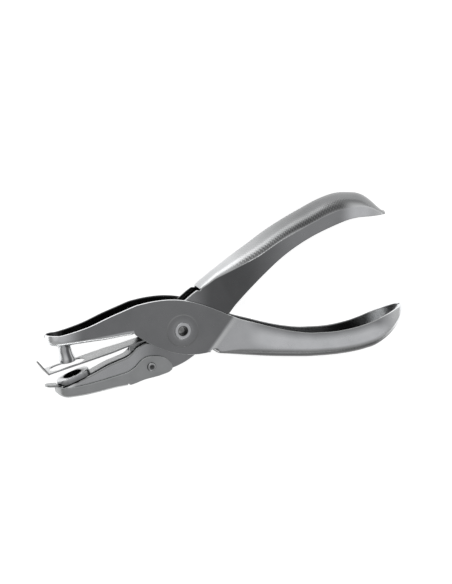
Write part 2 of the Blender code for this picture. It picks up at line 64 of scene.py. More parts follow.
# Levers
SHEET = 1.0
GAP = 0.3
OUTER_HALF = 5.2
HANDLE_HALF = 7.3
INNER_HALF = OUTER_HALF - SHEET - GAP
TIP_ANGLE = math.radians(88)
RIVET_HOLE_R = 2.65
THROUGH = 9.0

# Pressed detail
RIM_ROUND = 0.35
FINE_STEP = 1.1
OUTER_FINE = (-9, 66)
INNER_FINE = (14, 64)
BOSS_R = 5.7
BOSS_RISE = 0.1
BOSS_STEPS = ((6.0, 5.5), (4.8, 3.0))
KNURL_PITCH = 1.1
KNURL_DEPTH = 0.12

# Plating: noise scales per metre and the drawing marks' depth
STAIN_SCALE = 90
GRIT_SCALE = 4000
GRAIN_DEPTH = 0.02

# Pivot rivet
RIVET_R = 2.4
RIVET_BORE_R = 1.6
RIVET_FLANGE_R = 2.95
RIVET_FLANGE = 0.6
RIVET_ROLL = 0.45
HEAD_GAP = 0.02

# Jaw line of the inner lever, and the die on it
JAW_ANGLE = math.radians(21.5)
JAW_ALONG = Vector((math.cos(JAW_ANGLE), math.sin(JAW_ANGLE), 0))
JAW_UP = Vector((-math.sin(JAW_ANGLE), math.cos(JAW_ANGLE), 0))
DIE_FOOT = Vector((-38.6, -15.95, 0))
DIE_HOLE_R = 3.4
DIE_HALF = 3.85
DIE_REACH = 6.15
DIE_HEIGHT = 2.05
DIE_EDGE = 0.35
CHIP_HOLE_R = 3.6

# Punch
PUNCH_END = Vector((-41.0, -9.5, 0))
PUNCH_ANGLE = math.radians(12.2)
PUNCH_R = 3.0
PUNCH_WAIST_R = 2.4
PUNCH_SHANK_R = 1.8
PUNCH_HOLE_R = 2.1
PUNCH_HEAD_R = 2.4
PUNCH_LENGTH = 5.6
PUNCH_CUP = 0.4
PUNCH_LAND = 1.0
PUNCH_FLARE = 3.2
PUNCH_DOME = 0.7
SEAT_FROM = 3.0
WEB_SLOPE = math.radians(6.2)

# Stripper plate
PLATE = 0.55
PLATE_FRONT = Vector((-48.9, -12.5, 0))
PLATE_ANGLE = math.radians(15.4)
PLATE_LENGTH = 41.0
PLATE_FRONT_HALF = 4.45
PLATE_REAR_HALF = 3.5
PLATE_NECK = (24.0, 29.0)
SLOT_HALF = 3.7
SLOT_START = 1.2
SLOT_END = 14.4
TONGUE = 4.85
TONGUE_ANGLE = math.radians(112.8)
STOP_AT = 30.6
STOP_WIDTH = 1.5
STOP_DROP = 2.1
PLATE_RIVET_AT = 39.0
PLATE_PIN_R = 1.3
PLATE_EDGE = 0.1

# Chip tray
TRAY_SHEET = 0.7
TRAY_HALF = 4.9
TRAY_PIN_HOLE_R = 1.35
THUMB_AT = Vector((-46.9, -18.1, 0))
THUMB = 0.8
THUMB_HALF = 2.5
THUMB_REAR = 2.1
THUMB_EDGE = 0.3

# The tray rivet's dimpled head: radius, and height from its crest
TRAY_HEAD_HEIGHT = 0.75
TRAY_HEAD = ((0, -0.5), (0.45, -0.42), (0.8, -0.08), (1.0, 0), (1.3, -0.08), (1.55, -0.3))
TRAY_HEAD_R = 1.65
TRAY_SHANK_R = 1.1

# Return spring
WIRE_R = 0.5
COIL_R = 4.6
COIL_HALF = 2.1
COIL_TURNS = 3
LOWER_LEG_END = Vector((23.0, -7.3, 0))
UPPER_LEG_BEND = Vector((3.6, 9.5, 0))
UPPER_LEG_END = Vector((20.5, 22.3, 0))

# Stations: rim x, y; web x, y; half width; corner radius; crown angle; rim's inward lean
OUTER_STATIONS = [
    (-44.5, 0.5, -44.5, -3.75, 4.95, 2.3, 14, 0.35),
    (-40.0, 1.6, -40.0, -3.35, 5.1, 2.2, 12, 0.3),
    (-34.0, 3.5, -34.0, -2.55, 5.2, 1.9, 6, 0.1),
    (-27.4, 6.3, -27.0, -1.7, 5.2, 1.5, 0, 0),
    (-21.5, 8.5, -21.0, -0.8, 5.2, 1.3, 0, 0),
    (-17.0, 10.15, -18.0, -0.6, 5.2, 0.5, 0, 0),
    (-16.4, 10.25, -17.5, -0.7, 5.2, 0.5, 0, 0),
    (-12.0, 11.05, -14.6, -2.4, 5.2, 0.4, 0, 0),
    (-6.0, 11.5, -10.4, -5.0, 5.2, 0.4, 0, 0),
    (0.5, 10.95, -5.2, -7.3, 5.2, 0.4, 0, 0),
    (7.0, 9.2, 0.6, -8.7, 5.2, 0.4, 0, 0),
    (13.0, 6.8, 5.2, -9.0, 5.2, 0.4, 0, 0),
    (18.4, 4.3, 8.8, -8.7, 5.2, 0.4, 0, 0),
    (19.6, 3.75, 10.0, -8.6, 5.35, 0.5, 0, 0),
    (21.2, 3.1, 11.6, -8.65, 5.95, 0.6, 0, 0.1),
    (23.0, 2.5, 13.6, -9.1, 6.1, 1.2, 5, 0.25),
    (28.0, 1.05, 20.0, -10.2, 6.5, 3.0, 10, 0.5),
    (34.0, -0.8, 29.0, -11.45, 6.9, 3.4, 12, 0.7),
    (42.0, -2.75, 39.5, -12.45, 7.2, 3.5, 12, 0.8),
    (50.0, -3.7, 49.5, -13.0, HANDLE_HALF, 3.5, 12, 0.8),
    (58.0, -3.65, 58.0, -12.9, HANDLE_HALF, 3.5, 12, 0.8),
    (66.0, -2.5, 66.2, -12.15, HANDLE_HALF, 3.5, 12, 0.8),
    (72.0, -0.85, 72.6, -10.75, HANDLE_HALF, 3.5, 12, 0.7),
]
OUTER_WEB_GAP = (-18.0, 13.6)
OUTER_JAW_TIP = Vector((-49.5, 0.6, 0))
OUTER_JAW_POWER = 0.35
OUTER_HANDLE_TIP = Vector((85.3, 4.6, 0))
OUTER_HANDLE_POWER = 1.0
NOTCH_AT = Vector((11.9, -8.9, 0))
NOTCH_R = 1.7
CREASE_LOW = Vector((8.8, -8.2))
CREASE_HIGH = Vector((18.4, 4.3))

INNER_STATIONS = [
    (-39.9, -19.4, -40.7, -16.85, INNER_HALF, 1.5, 0, 0),
    (-36.5, -19.3, -37.5, -15.5, INNER_HALF, 1.5, 0, 0),
    (-31.2, -18.8, -32.1, -13.2, INNER_HALF, 1.5, 0, 0),
    (-25.5, -17.9, -26.6, -10.55, INNER_HALF, 1.5, 0, 0),
    (-21.0, -17.2, -22.0, -8.95, INNER_HALF, 1.5, 0, 0),
    (-18.2, -16.7, -18.9, -7.7, INNER_HALF, 1.4, 0, 0),
    (-15.8, -16.2, -17.0, -5.7, INNER_HALF, 1.2, 0, 0),
    (-13.2, -15.7, -14.5, -4.2, INNER_HALF, 1.0, 0, 0),
    (-11.0, -15.3, -12.2, -3.2, INNER_HALF, 0.8, 0, 0),
    (-8.2, -14.7, -9.0, -2.2, INNER_HALF, 0.4, 0, 0),
    (-5.6, -14.1, -8.2, 1.6, INNER_HALF, 0.4, 0, 0),
    (-2.8, -13.4, -6.0, 5.0, INNER_HALF, 0.4, 0, 0),
    (1.5, -11.6, -2.2, 8.1, INNER_HALF, 0.4, 0, 0),
    (5.1, -9.3, 1.4, 10.8, INNER_HALF, 0.4, 0, 0),
    (9.5, -5.7, 4.2, 13.0, INNER_HALF, 0.4, 0, 0),
    (12.2, -2.8, 5.9, 14.2, INNER_HALF, 0.4, 0, 0),
    (13.8, -0.8, 7.4, 16.3, INNER_HALF, 1.0, 35, 0),
    (17.2, 3.9, 9.9, 18.2, INNER_HALF, 1.0, 45, 0),
    (19.4, 6.8, 12.0, 19.85, 4.0, 1.0, 50, 0),
    (22.4, 10.5, 15.6, 22.4, 4.9, 1.0, 55, 0),
    (26.0, 14.65, 20.3, 25.65, 6.0, 1.0, 58, 0),
    (30.5, 19.35, 26.2, 29.35, 6.9, 1.0, 60, 0),
    (36.0, 24.3, 32.6, 33.65, HANDLE_HALF, 1.0, 60, 0),
    (42.0, 28.45, 39.5, 37.6, HANDLE_HALF, 1.0, 64, 0),
    (48.5, 32.0, 46.6, 41.2, HANDLE_HALF, 1.0, 68, 0),
    (55.5, 34.95, 54.4, 44.75, HANDLE_HALF, 1.0, 70, 0),
    (62.0, 37.2, 61.6, 46.3, HANDLE_HALF, 1.0, 70, 0),
    (66.1, 37.9, 66.0, 46.05, HANDLE_HALF, 1.0, 70, 0),
]
INNER_WEB_GAP = (-9.0, 7.35)
INNER_JAW_TIP = Vector((-43.3, -20.9, 0))
INNER_JAW_POWER = 0.5
INNER_HANDLE_TIP = Vector((78.4, 37.9, 0))
INNER_HANDLE_POWER = 3.3

TRAY_STATIONS = [
    (-42.3, -18.2, -41.8, -21.85, TRAY_HALF, 1.1, 0, 0),
    (-36.0, -17.4, -35.5, -21.3, TRAY_HALF, 1.1, 0, 0),
    (-29.5, -16.1, -29.0, -20.2, TRAY_HALF, 1.1, 0, 0),
    (-24.0, -14.8, -23.5, -19.2, TRAY_HALF, 1.1, 0, 0),
    (-20.4, -13.9, -19.8, -18.75, TRAY_HALF, 0.5, 0, 0),
    (-20.1, -13.8, -19.5, -18.68, TRAY_HALF, 0.5, 0, 0),
    (-17.6, -12.3, -17.2, -18.05, TRAY_HALF, 0.4, 0, 0),
    (-14.9, -9.6, -14.5, -17.1, TRAY_HALF, 0.4, 0, 0),
    (-12.2, -8.5, -11.8, -16.5, TRAY_HALF, 0.4, 0, 0),
    (-9.6, -8.6, -9.0, -16.0, TRAY_HALF, 0.4, 0, 0),
    (-7.2, -9.0, -6.6, -15.3, TRAY_HALF, 0.4, 0, 0),
    (-5.2, -10.2, -4.8, -14.75, TRAY_HALF, 0.4, 0, 0),
    (-3.6, -12.2, -3.6, -13.75, TRAY_HALF, 0.2, 0, 0),
]
TRAY_WEB_END = -19.9
TRAY_TIP = Vector((-45.8, -17.7, 0))
TRAY_TIP_POWER = 0.3

# Tone multiplies the plating's colour and is painted light: painted shade inside the channels,
# under the handle and on the cheeks, and painted highlights on rims, noses and crowns, standing in
# for part of what the plating reflects.
# Each row has its first value along X, then from x, to x and the value of each change.
# Painted shade: the insides of both channels near black, lighter towards the lower handle's end.
OUTER_INSIDE_PAINTED_SHADE = (0.09, (14, 28, 0.45), (34, 44, 0.3), (58, 66, 0.12), (73, 79, 1.0))
INNER_INSIDE_PAINTED_SHADE = (0.06, (14, 26, 0.35))
# Painted light and shade on the upper handle's flat sides: darkest by the pivot, lighter along the
# handle, bright at its end.
INNER_SIDE_PAINTED_LIGHT = (0.64, (-18, -8, 0.37), (2, 12, 0.17), (22, 45, 0.44), (58, 65, 1.0))
# Painted highlight along the upper handle's crown, brightest near the pivot.
INNER_CROWN_PAINTED_LIGHT = (0.34, (-10, 5, 0.6), (22, 46, 0.32))
# Painted shade on the flat cheeks.
CHEEK_PAINTED_SHADE = 0.315
# Painted highlight along the rims and the jaw's lower edge.
RIM_PAINTED_HIGHLIGHT = 0.9
# Painted highlight on the upper jaw's nose.
NOSE_PAINTED_HIGHLIGHT = 0.95
# Painted shade on the lower handle's underside.
UNDER_PAINTED_SHADE = 0.1

# Camera: turned and raised about the tool as it would stand upright
VIEW_TURN = math.radians(18)
VIEW_RISE = math.radians(10.5)
LENS = 180
SENSOR = 36
FRAME_LONG_SIDE = 584
SCALE = 2.8
AIM_RIGHT = 17.0
AIM_UP = 12.9
CLIP = (0.05, 10)

# Studio
CARD_TOWARDS = Vector((0.304, -0.15, 0.935))
CARD_EDGE = 0.72
CARD_CORE = 0.93
CARD = 0.45
ROOM = 0.62
ROOM_LOW = 0.38
ROOM_FALL = (-0.6, 0.5)
END_LOW = 0.5
END_FALL = (-0.95, -0.7)
FLOOR_GLOW = 0.78
FLOOR_PAPER = (0.8, 0.8, 0.8, 1)
FLOOR_HALF = 1.5
FLOOR_DROP = 0.2
LAMP_DISTANCE = 0.7

# Soft panels: name, direction from the tool, size and power
LAMPS = (
    ("underneath", (0.1, -0.97, 0.12), (0.45, 0.2), 0.5),
    ("overhead", (-0.35, 0.9, 0.15), (0.5, 0.35), 0.8),
)


# ---------------------------------------------------------------- mesh helpers


def place(point):
    """A point in millimetres about the pivot, as metres in the part's frame."""
    return (Vector(point) + PIVOT) * MM


def add_piece(name, bm, body, nodes, material):
    """Makes a piece of a mesh drawn in millimetres about the pivot."""
    for vert in bm.verts:
        vert.co = place(vert.co)
    mesh = bpy.data.meshes.new(name)
    bm.to_mesh(mesh)
    bm.free()
    return add_mesh(name, mesh, body, nodes, material)


def add_mesh(name, mesh, body, nodes, material):
    """Makes a piece that rides a body and stands for the CAD nodes given."""
    mesh.materials.clear()
    mesh.materials.append(material)
    item = bpy.data.objects.new(name, mesh)
    bpy.context.scene.collection.objects.link(item)
    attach(item, body)
    if nodes:
        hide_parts(*nodes)
    return item


def apply_modifiers(item):
    """Puts the evaluated mesh in place of the object's own and drops its modifiers."""
    graph = bpy.context.evaluated_depsgraph_get()
    baked = bpy.data.meshes.new_from_object(item.evaluated_get(graph))
    item.modifiers.clear()
    item.data = baked


def smooth(item, angle=32):
    """Shades smooth, except across edges sharper than the angle in degrees."""
    item.data.shade_smooth()
    item.data.set_sharp_from_angle(angle=math.radians(angle))


def cut(item, cutters):
    """Takes closed meshes out of the item, whose modifiers are applied first."""
    apply_modifiers(item)
    for bm in cutters:
        for vert in bm.verts:
            vert.co = place(vert.co)
        mesh = bpy.data.meshes.new("cutter")
        bm.to_mesh(mesh)
        bm.free()
        tool = bpy.data.objects.new("cutter", mesh)
        bpy.context.scene.collection.objects.link(tool)
        hole = item.modifiers.new("hole", "BOOLEAN")
        hole.operation = "DIFFERENCE"
        hole.solver = "MANIFOLD"
        hole.object = tool
        apply_modifiers(item)
        bpy.data.objects.remove(tool)


def spread(rows, step, fine_step=None, fine=(0, 0)):
    """Rows between the given ones, on smooth curves that never overshoot a row."""
    middles = [Vector(((r[0] + r[2]) / 2, (r[1] + r[3]) / 2)) for r in rows]
    at = [0.0]
    for a, b in zip(middles, middles[1:]):
        at.append(at[-1] + (b - a).length)
    last = len(rows) - 1
    slopes = []
    for i, row in enumerate(rows):
        low, high = max(i - 1, 0), min(i + 1, last)
        run = at[high] - at[low]
        slope = []
        for p, q, r in zip(rows[low], row, rows[high]):
            is_peak = low < i < high and (q - p) * (r - q) <= 0
            slope.append(0.0 if is_peak else (r - p) / run)
        slopes.append(slope)
    out = []
    for i in range(last):
        run = at[i + 1] - at[i]
        is_fine = fine_step and fine[0] <= middles[i].x < fine[1]
        pieces = math.ceil(run / (fine_step if is_fine else step))
        for k in range(pieces):
            t = k / pieces
            ease = t * t * (3 - 2 * t)
            leave = t * (1 - t) ** 2 * run
            arrive = t * t * (t - 1) * run
            row = []
            for p, q, m, n in zip(rows[i], rows[i + 1], slopes[i], slopes[i + 1]):
                row.append(p + (q - p) * ease + m * leave + n * arrive)
            out.append(row)
    out.append(list(rows[-1]))
    return out


def inset(rows, sheet):
    """The inside skin of a channel whose outside skin the rows give."""
    out = []
    for ex, ey, wx, wy, half, radius, crown, lean in rows:
        edge, web = Vector((ex, ey)), Vector((wx, wy))
        web += (edge - web).normalized() * sheet
        radius = max(radius - sheet, 0.25)
        out.append((ex, ey, web.x, web.y, half - sheet, radius, crown, lean))
    return out


def tip(row, end, power, sheet, steps):
    """Rows that close a channel's end: a half ellipse in plan, from a row to the end."""
    edge, web = Vector(row[0:2]), Vector(row[2:4])
    down = web - edge
    run = Vector(end[0:2]) - edge
    run -= run.normalized() * sheet
    out = []
    for k in range(1, steps + 1):
        angle = TIP_ANGLE * k / steps
        near = edge + run * math.sin(angle)
        far = near + down * math.cos(angle) ** power
        shrink = math.cos(angle)
        out.append((*near, *far, row[4] * shrink, row[5] * shrink, row[6], row[7] * shrink))
    return out


def section(half, depth, radius, crown, lean, walls, corners, domes):
    """Half a U section from its rim to the middle of its web, as (z, depth) pairs."""
    radius = min(radius, 0.4 * half, 0.35 * depth)
    steepest = 2 * math.atan(0.5 * (depth - radius) / half)
    crown = min(max(math.radians(crown), 0.01), steepest)
    reach = half - radius * (1 - math.sin(crown))
    round_r = reach / math.sin(crown)
    wall_end = depth - round_r * (1 - math.cos(crown)) - radius * math.cos(crown)
    pairs = []
    bead = min(RIM_ROUND, wall_end / 4)
    middle = wall_end - 2 * bead
    levels = [bead + middle * k / (walls - 2) for k in range(walls - 1)]
    for level in [0.0, *levels]:
        pairs.append((half - lean * (1 - level / wall_end) ** 1.6, level))
    for k in range(corners):
        turn = (math.pi / 2 - crown) * k / corners
        z = half - radius + radius * math.cos(turn)
        pairs.append((z, wall_end + radius * math.sin(turn)))
    for k in range(domes + 1):
        a = crown * (1 - k / domes)
        pairs.append((round_r * math.sin(a), depth - round_r * (1 - math.cos(a))))
    return pairs


def channel(rows, web_is_open, sheet, walls, corners, domes):
    """A U channel's skin, with its faces pointing out of the channel.

    Where the web is left out, the side walls run on to where its outer face would be.
    """
    bm = bmesh.new()
    opens = [web_is_open(a, b) for a, b in zip(rows, rows[1:])]
    grid = []
    for row, before, after in zip(rows, [opens[0], *opens], [*opens, opens[-1]]):
        edge, web = Vector((*row[0:2], 0)), Vector((*row[2:4], 0))
        depth = (web - edge).length
        down = (web - edge) / depth
        pairs = section(row[4], depth, row[5], row[6], row[7], walls, corners, domes)
        if before and after:
            stretch = (depth + sheet) / pairs[walls][1]
            pairs = [(z, v * stretch) for z, v in pairs]
        near = [edge + down * v + Vector((0, 0, z)) for z, v in pairs]
        far = [Vector((p.x, p.y, -p.z)) for p in reversed(near[:-1])]
        grid.append([bm.verts.new(p) for p in near + far])
    columns = len(grid[0]) - 1
    for i, (a, b) in enumerate(zip(grid, grid[1:])):
        for j in range(columns):
            is_web = walls <= j < columns - walls
            if is_web and opens[i]:
                continue
            bm.faces.new((a[j], a[j + 1], b[j + 1], b[j]))
    loose = [v for v in bm.verts if not v.link_faces]
    bmesh.ops.delete(bm, geom=loose, context="VERTS")
    bm.normal_update()
    first = next(f for f in bm.faces if abs(f.normal.z) > 0.9 and f.verts[0].co.z > 0)
    if first.normal.z < 0:
        bmesh.ops.reverse_faces(bm, faces=bm.faces)
    return bm


def thicken(item, sheet, levels):
    """Gives the skin its thickness and rounded rims; group 0 marks the inner face."""
    item.vertex_groups.new(name="inner_face")
    skin = item.modifiers.new("sheet", "SOLIDIFY")
    skin.thickness = sheet * MM
    skin.offset = 1.0
    skin.use_even_offset = True
    skin.shell_vertex_group = "inner_face"
    fine = item.modifiers.new("fine", "SUBSURF")
    fine.levels = levels
    fine.render_levels = levels
    apply_modifiers(item)


def face_tree(item):
    """The mesh's points in a search tree, with each one's share of the outer face."""
    points = item.data.vertices
    tree = KDTree(len(points))
    for i, vert in enumerate(points):
        tree.insert(vert.co, i)
    tree.balance()
    return tree, [1 - v.groups[0].weight if v.groups else 1.0 for v in points]


def mesh_points(mesh):
    """Positions in millimetres about the pivot, and normals, as arrays of rows."""
    count = len(mesh.vertices)
    points, normals = np.zeros(count * 3), np.zeros(count * 3)
    mesh.vertices.foreach_get("co", points)
    mesh.vertex_normals.foreach_get("vector", normals)
    return points.reshape(-1, 3) / MM - np.array(PIVOT), normals.reshape(-1, 3)


def outer_share(mesh, faces):
    """Each point's share of the outer face, taken from the nearest point before cuts."""
    tree, shares = faces
    return np.array([shares[tree.find(vert.co)[1]] for vert in mesh.vertices])


def write_painted_light(mesh, tone_and_painted_light):
    """Stores the painted light and shade at each point, which the materials that read it multiply
    into the plating's colour.
    """
    mark = mesh.attributes.new("tone_and_painted_light", "FLOAT", "POINT")
    mark.data.foreach_set("value", tone_and_painted_light.astype(np.float32))


def finish_sheet(item, faces, relief_at, painted_light_at):
    """Presses the relief into the outer face and writes the painted light and shade of the
    plating.
    """
    mesh = item.data
    points, normals = mesh_points(mesh)
    outer = outer_share(mesh, faces)
    moved = points + normals * (relief_at(points, normals) * outer)[:, None]
    mesh.vertices.foreach_set("co", ((moved + np.array(PIVOT)) * MM).ravel())
    mesh.update()
    smooth(item)
    write_painted_light(mesh, np.clip(painted_light_at(points, normals, outer), 0, 1))


def bevel(item, width, segments):
    """Rounds the item's sharp edges by a width in millimetres."""
    edge = item.modifiers.new("edge", "BEVEL")
    edge.width = width * MM
    edge.segments = segments
    edge.limit_method = "ANGLE"
    edge.angle_limit = math.radians(50)


def turned(profile, sides, centre, axis_angle=0.0, along_z=True):
    """A closed profile of (radius, height) pairs turned about an axis."""
    bm = bmesh.new()
    rings = []
    for k in range(sides):
        turn = 2 * math.pi * k / sides
        ring = []
        for radius, height in profile:
            point = Vector((radius * math.cos(turn), radius * math.sin(turn), height))
            ring.append(bm.verts.new(point))
        rings.append(ring)
    count = len(profile)
    for k in range(sides):
        a, b = rings[k], rings[(k + 1) % sides]
        for j in range(count):
            n = (j + 1) % count
            bm.faces.new((a[j], b[j], b[n], a[n]))
    bmesh.ops.remove_doubles(bm, verts=bm.verts, dist=1e-4)
    bmesh.ops.recalc_face_normals(bm, faces=bm.faces)
    if not along_z:
        stand = Matrix.Rotation(-math.pi / 2, 4, "X")
        lean = Matrix.Rotation(axis_angle, 4, "Z")
        bmesh.ops.transform(bm, matrix=lean @ stand, verts=bm.verts)
    bmesh.ops.translate(bm, vec=centre, verts=bm.verts)
    return bm


def rod(radius, low, high, sides, centre, axis_angle=0.0, along_z=True):
    """A round bar between two heights on its axis, along Z or leaning across it."""
    profile = [(0, high), (radius, high), (radius, low), (0, low)]
    return turned(profile, sides, centre, axis_angle, along_z)


def rounded(points, radius, steps=4):
    """An open (radius, height) profile with its inner corners rounded."""
    out = [points[0]]
    for before, here, after in zip(points, points[1:], points[2:]):
        a, b, c = Vector(before), Vector(here), Vector(after)
        reach = min(radius, (a - b).length * 0.45, (c - b).length * 0.45)
        start = b + (a - b).normalized() * reach
        end = b + (c - b).normalized() * reach
        for k in range(steps + 1):
            t = k / steps
            out.append(tuple(start.lerp(b, t).lerp(b.lerp(end, t), t)))
    out.append(points[-1])
    return out


def stadium(front, rear, half, steps):
    """An outline of (along, across) pairs: two half circles joined by straight sides."""
    out = []
    for k in range(steps + 1):
        turn = math.pi * (k / steps - 0.5)
        out.append((rear - half + half * math.cos(turn), half * math.sin(turn)))
    for k in range(steps + 1):
        turn = math.pi * (k / steps + 0.5)
        out.append((-front + half + half * math.cos(turn), half * math.sin(turn)))
    return out


def jaw_point(along, up, across):
    """A point by its place on the lower jaw's line, from the foot of the die."""
    return DIE_FOOT + JAW_ALONG * along + JAW_UP * up + Vector((0, 0, across))


def thumb_point(along, up, across):
    """A point on the tray's thumb tab, from the middle of its round end."""
    return THUMB_AT + Vector((along, up, across))


def plate_point(along, up, across):
    """A point on the stripper plate, whose front tongue turns up behind the bend."""
    direction = Vector((math.cos(PLATE_ANGLE), math.sin(PLATE_ANGLE), 0))
    normal = Vector((-direction.y, direction.x, 0))
    if along >= 0:
        return PLATE_FRONT + direction * along + normal * up + Vector((0, 0, across))
    turned_up = PLATE_ANGLE + TONGUE_ANGLE
    ray = Vector((math.cos(turned_up), math.sin(turned_up), 0))
    return PLATE_FRONT - ray * along + Vector((0, 0, across))


def slab(outline, low, high, to_point):
    """A flat plate with the outline given, between two heights above its own plane."""
    bm = bmesh.new()
    bottom = [bm.verts.new(to_point(a, low, c)) for a, c in outline]
    face = bm.faces.new(bottom)
    grown = bmesh.ops.extrude_face_region(bm, geom=[face])
    lift = to_point(0, high, 0) - to_point(0, low, 0)
    moved = [v for v in grown["geom"] if isinstance(v, bmesh.types.BMVert)]
    bmesh.ops.translate(bm, vec=lift, verts=moved)
    bmesh.ops.recalc_face_normals(bm, faces=bm.faces)
    return bm


# ------------------------------------------------------------------- materials


def map_range(tree, value, span, result=(0.0, 1.0), is_smooth=False):
    """Takes a span of values to a span of results."""
    node = tree.nodes.new("ShaderNodeMapRange")
    if is_smooth:
        node.interpolation_type = "SMOOTHSTEP"
    for name, end in zip(("From Min", "From Max", "To Min", "To Max"), (*span, *result)):
        node.inputs[name].default_value = end
    tree.links.new(value, node.inputs["Value"])
    return node.outputs["Result"]


def combine(tree, operation, first, second):
    """Joins two values by a Math node's operation."""
    node = tree.nodes.new("ShaderNodeMath")
    node.operation = operation
    tree.links.new(first, node.inputs[0])
    tree.links.new(second, node.inputs[1])
    return node.outputs["Value"]


def scaled(tree, colour, factor):
    """A colour times a value."""
    node = tree.nodes.new("ShaderNodeVectorMath")
    node.operation = "SCALE"
    tree.links.new(colour, node.inputs[0])
    tree.links.new(factor, node.inputs["Scale"])
    return node.outputs["Vector"]


def noise(tree, vector, scale, detail, roughness=0.5):
    """Noise over the coordinates given, from 0 to 1."""
    node = tree.nodes.new("ShaderNodeTexNoise")
    node.inputs["Scale"].default_value = scale
    node.inputs["Detail"].default_value = detail
    node.inputs["Roughness"].default_value = roughness
    tree.links.new(vector, node.inputs["Vector"])
    return node.outputs["Fac"]


def pressed_boss(tree, vector):
    """The height of a low boss pressed out round the pivot, from the distance to it."""
    flat = tree.nodes.new("ShaderNodeVectorMath")
    flat.operation = "MULTIPLY_ADD"
    flat.inputs[1].default_value = (1, 1, 0)
    flat.inputs[2].default_value = (-PIVOT.x * MM, -PIVOT.y * MM, 0)
    tree.links.new(vector, flat.inputs[0])
    away = tree.nodes.new("ShaderNodeVectorMath")
    away.operation = "LENGTH"
    tree.links.new(flat.outputs["Vector"], away.inputs[0])
    steps = []
    for far, near in BOSS_STEPS:
        span = (near * MM, far * MM)
        steps.append(map_range(tree, away.outputs["Value"], span, (1.0, 0.0), True))
    return combine(tree, "ADD", *steps)


def nickel(name, bright, dark, roughness, varies, grain, bump, tone_and_painted_light=False, boss=False):
    """Plated steel: drawing marks and stains in colour and roughness, fine bump.

    The grain gives the drawing marks' scale along X, Y and Z. With tone, the colour is multiplied
    by the painted light and shade stored on the mesh; with boss, a boss is pressed out round the
    pivot.
    """
    material = bpy.data.materials.new(name)
    material.use_nodes = True
    tree = material.node_tree
    nodes, links = tree.nodes, tree.links
    shader = nodes["Principled BSDF"]
    shader.inputs["Metallic"].default_value = 1.0
    coords = nodes.new("ShaderNodeTexCoord").outputs["Object"]
    stretch = nodes.new("ShaderNodeMapping")
    stretch.inputs["Scale"].default_value = grain
    links.new(coords, stretch.inputs["Vector"])
    stain = noise(tree, coords, STAIN_SCALE, 5, 0.6)
    lines = noise(tree, stretch.outputs["Vector"], 1, 4)
    grit = noise(tree, coords, GRIT_SCALE, 2)

    tint = nodes.new("ShaderNodeMix")
    tint.data_type = "RGBA"
    tint.inputs["A"].default_value = (*dark, 1)
    tint.inputs["B"].default_value = (*bright, 1)
    links.new(map_range(tree, stain, (0.3, 0.62)), tint.inputs["Factor"])
    colour = tint.outputs["Result"]
    if tone_and_painted_light:
        # Painted light and shade written on the mesh multiply the colour.
        mark = nodes.new("ShaderNodeAttribute")
        mark.attribute_name = "tone_and_painted_light"
        colour = scaled(tree, colour, mark.outputs["Fac"])
    links.new(colour, shader.inputs["Base Color"])

    ends = (roughness - varies, roughness + varies)
    links.new(map_range(tree, lines, (0.3, 0.7), ends), shader.inputs["Roughness"])

    relief = nodes.new("ShaderNodeBump")
    relief.inputs["Strength"].default_value = bump
    relief.inputs["Distance"].default_value = GRAIN_DEPTH * MM
    links.new(combine(tree, "ADD", lines, grit), relief.inputs["Height"])
    if boss:
        raised = nodes.new("ShaderNodeBump")
        raised.inputs["Distance"].default_value = 1.5 * BOSS_RISE * MM
        links.new(pressed_boss(tree, coords), raised.inputs["Height"])
        links.new(raised.outputs["Normal"], relief.inputs["Normal"])
    links.new(relief.outputs["Normal"], shader.inputs["Normal"])
    return material


LEVER_PLATE = nickel(
    "lever_plate",
    bright=(0.98, 0.99, 1.0),
    dark=(0.86, 0.875, 0.885),
    roughness=0.25,
    varies=0.03,
    grain=(120, 900, 900),
    bump=0.12,
    tone_and_painted_light=True,
    boss=True,
)
TRAY_PLATE = nickel(
    "tray_plate",
    bright=(0.52, 0.53, 0.53),
    dark=(0.43, 0.44, 0.44),
    roughness=0.42,
    varies=0.06,
    grain=(90, 1200, 1200),
    bump=0.5,
)
BRIGHT_PLATE = nickel(
    "bright_plate",
    bright=(0.80, 0.81, 0.82),
    dark=(0.68, 0.69, 0.70),
    roughness=0.12,
    varies=0.04,
    grain=(400, 400, 400),
    bump=0.12,
    tone_and_painted_light=True,
)
PLATE_STEEL = nickel(
    "plate_steel",
    bright=(0.70, 0.71, 0.71),
    dark=(0.60, 0.61, 0.61),
    roughness=0.26,
    varies=0.06,
    grain=(80, 1500, 1500),
    bump=0.4,
    tone_and_painted_light=True,
)
PIN_PLATE = nickel(
    "pin_plate",
    bright=(0.70, 0.71, 0.72),
    dark=(0.58, 0.59, 0.60),
    roughness=0.2,
    varies=0.05,
    grain=(400, 400, 400),
    bump=0.15,
)
WIRE_STEEL = nickel(
    "wire_steel",
    bright=(0.55, 0.55, 0.54),
    dark=(0.38, 0.38, 0.38),
    roughness=0.3,
    varies=0.08,
    grain=(500, 500, 500),
    bump=0.3,
)


# ---------------------------------------------------------------------- pieces


def ease(values, low, high):
    """0 up to the low value and 1 from the high one, smooth between them."""
    share = np.clip((values - low) / (high - low), 0, 1)
    return share * share * (3 - 2 * share)


def blend(a, b, share):
    return a + (b - a) * share


def stages(x, first, *changes):
    """A value along X that eases from one stage to the next."""
    value = first
    for low, high, after in changes:
        value = blend(value, after, ease(x, low, high))
    return value


def pyramids(along, around, pitch):
    """A diamond knurl's height from 0 in the grooves to 1 on the points."""
    heights = []
    for value in (along + around, along - around):
        phase = np.mod(value / pitch, 1.0)
        heights.append(1 - np.abs(2 * phase - 1))
    return np.minimum(*heights)


def along_web(rows, points):
    """How far along the web's line each point lies, from its X."""
    at = np.array([row[2] for row in rows])
    height = np.array([row[3] for row in rows])
    length = np.concatenate([[0], np.cumsum(np.hypot(np.diff(at), np.diff(height)))])
    return np.interp(points[:, 0], at, length)


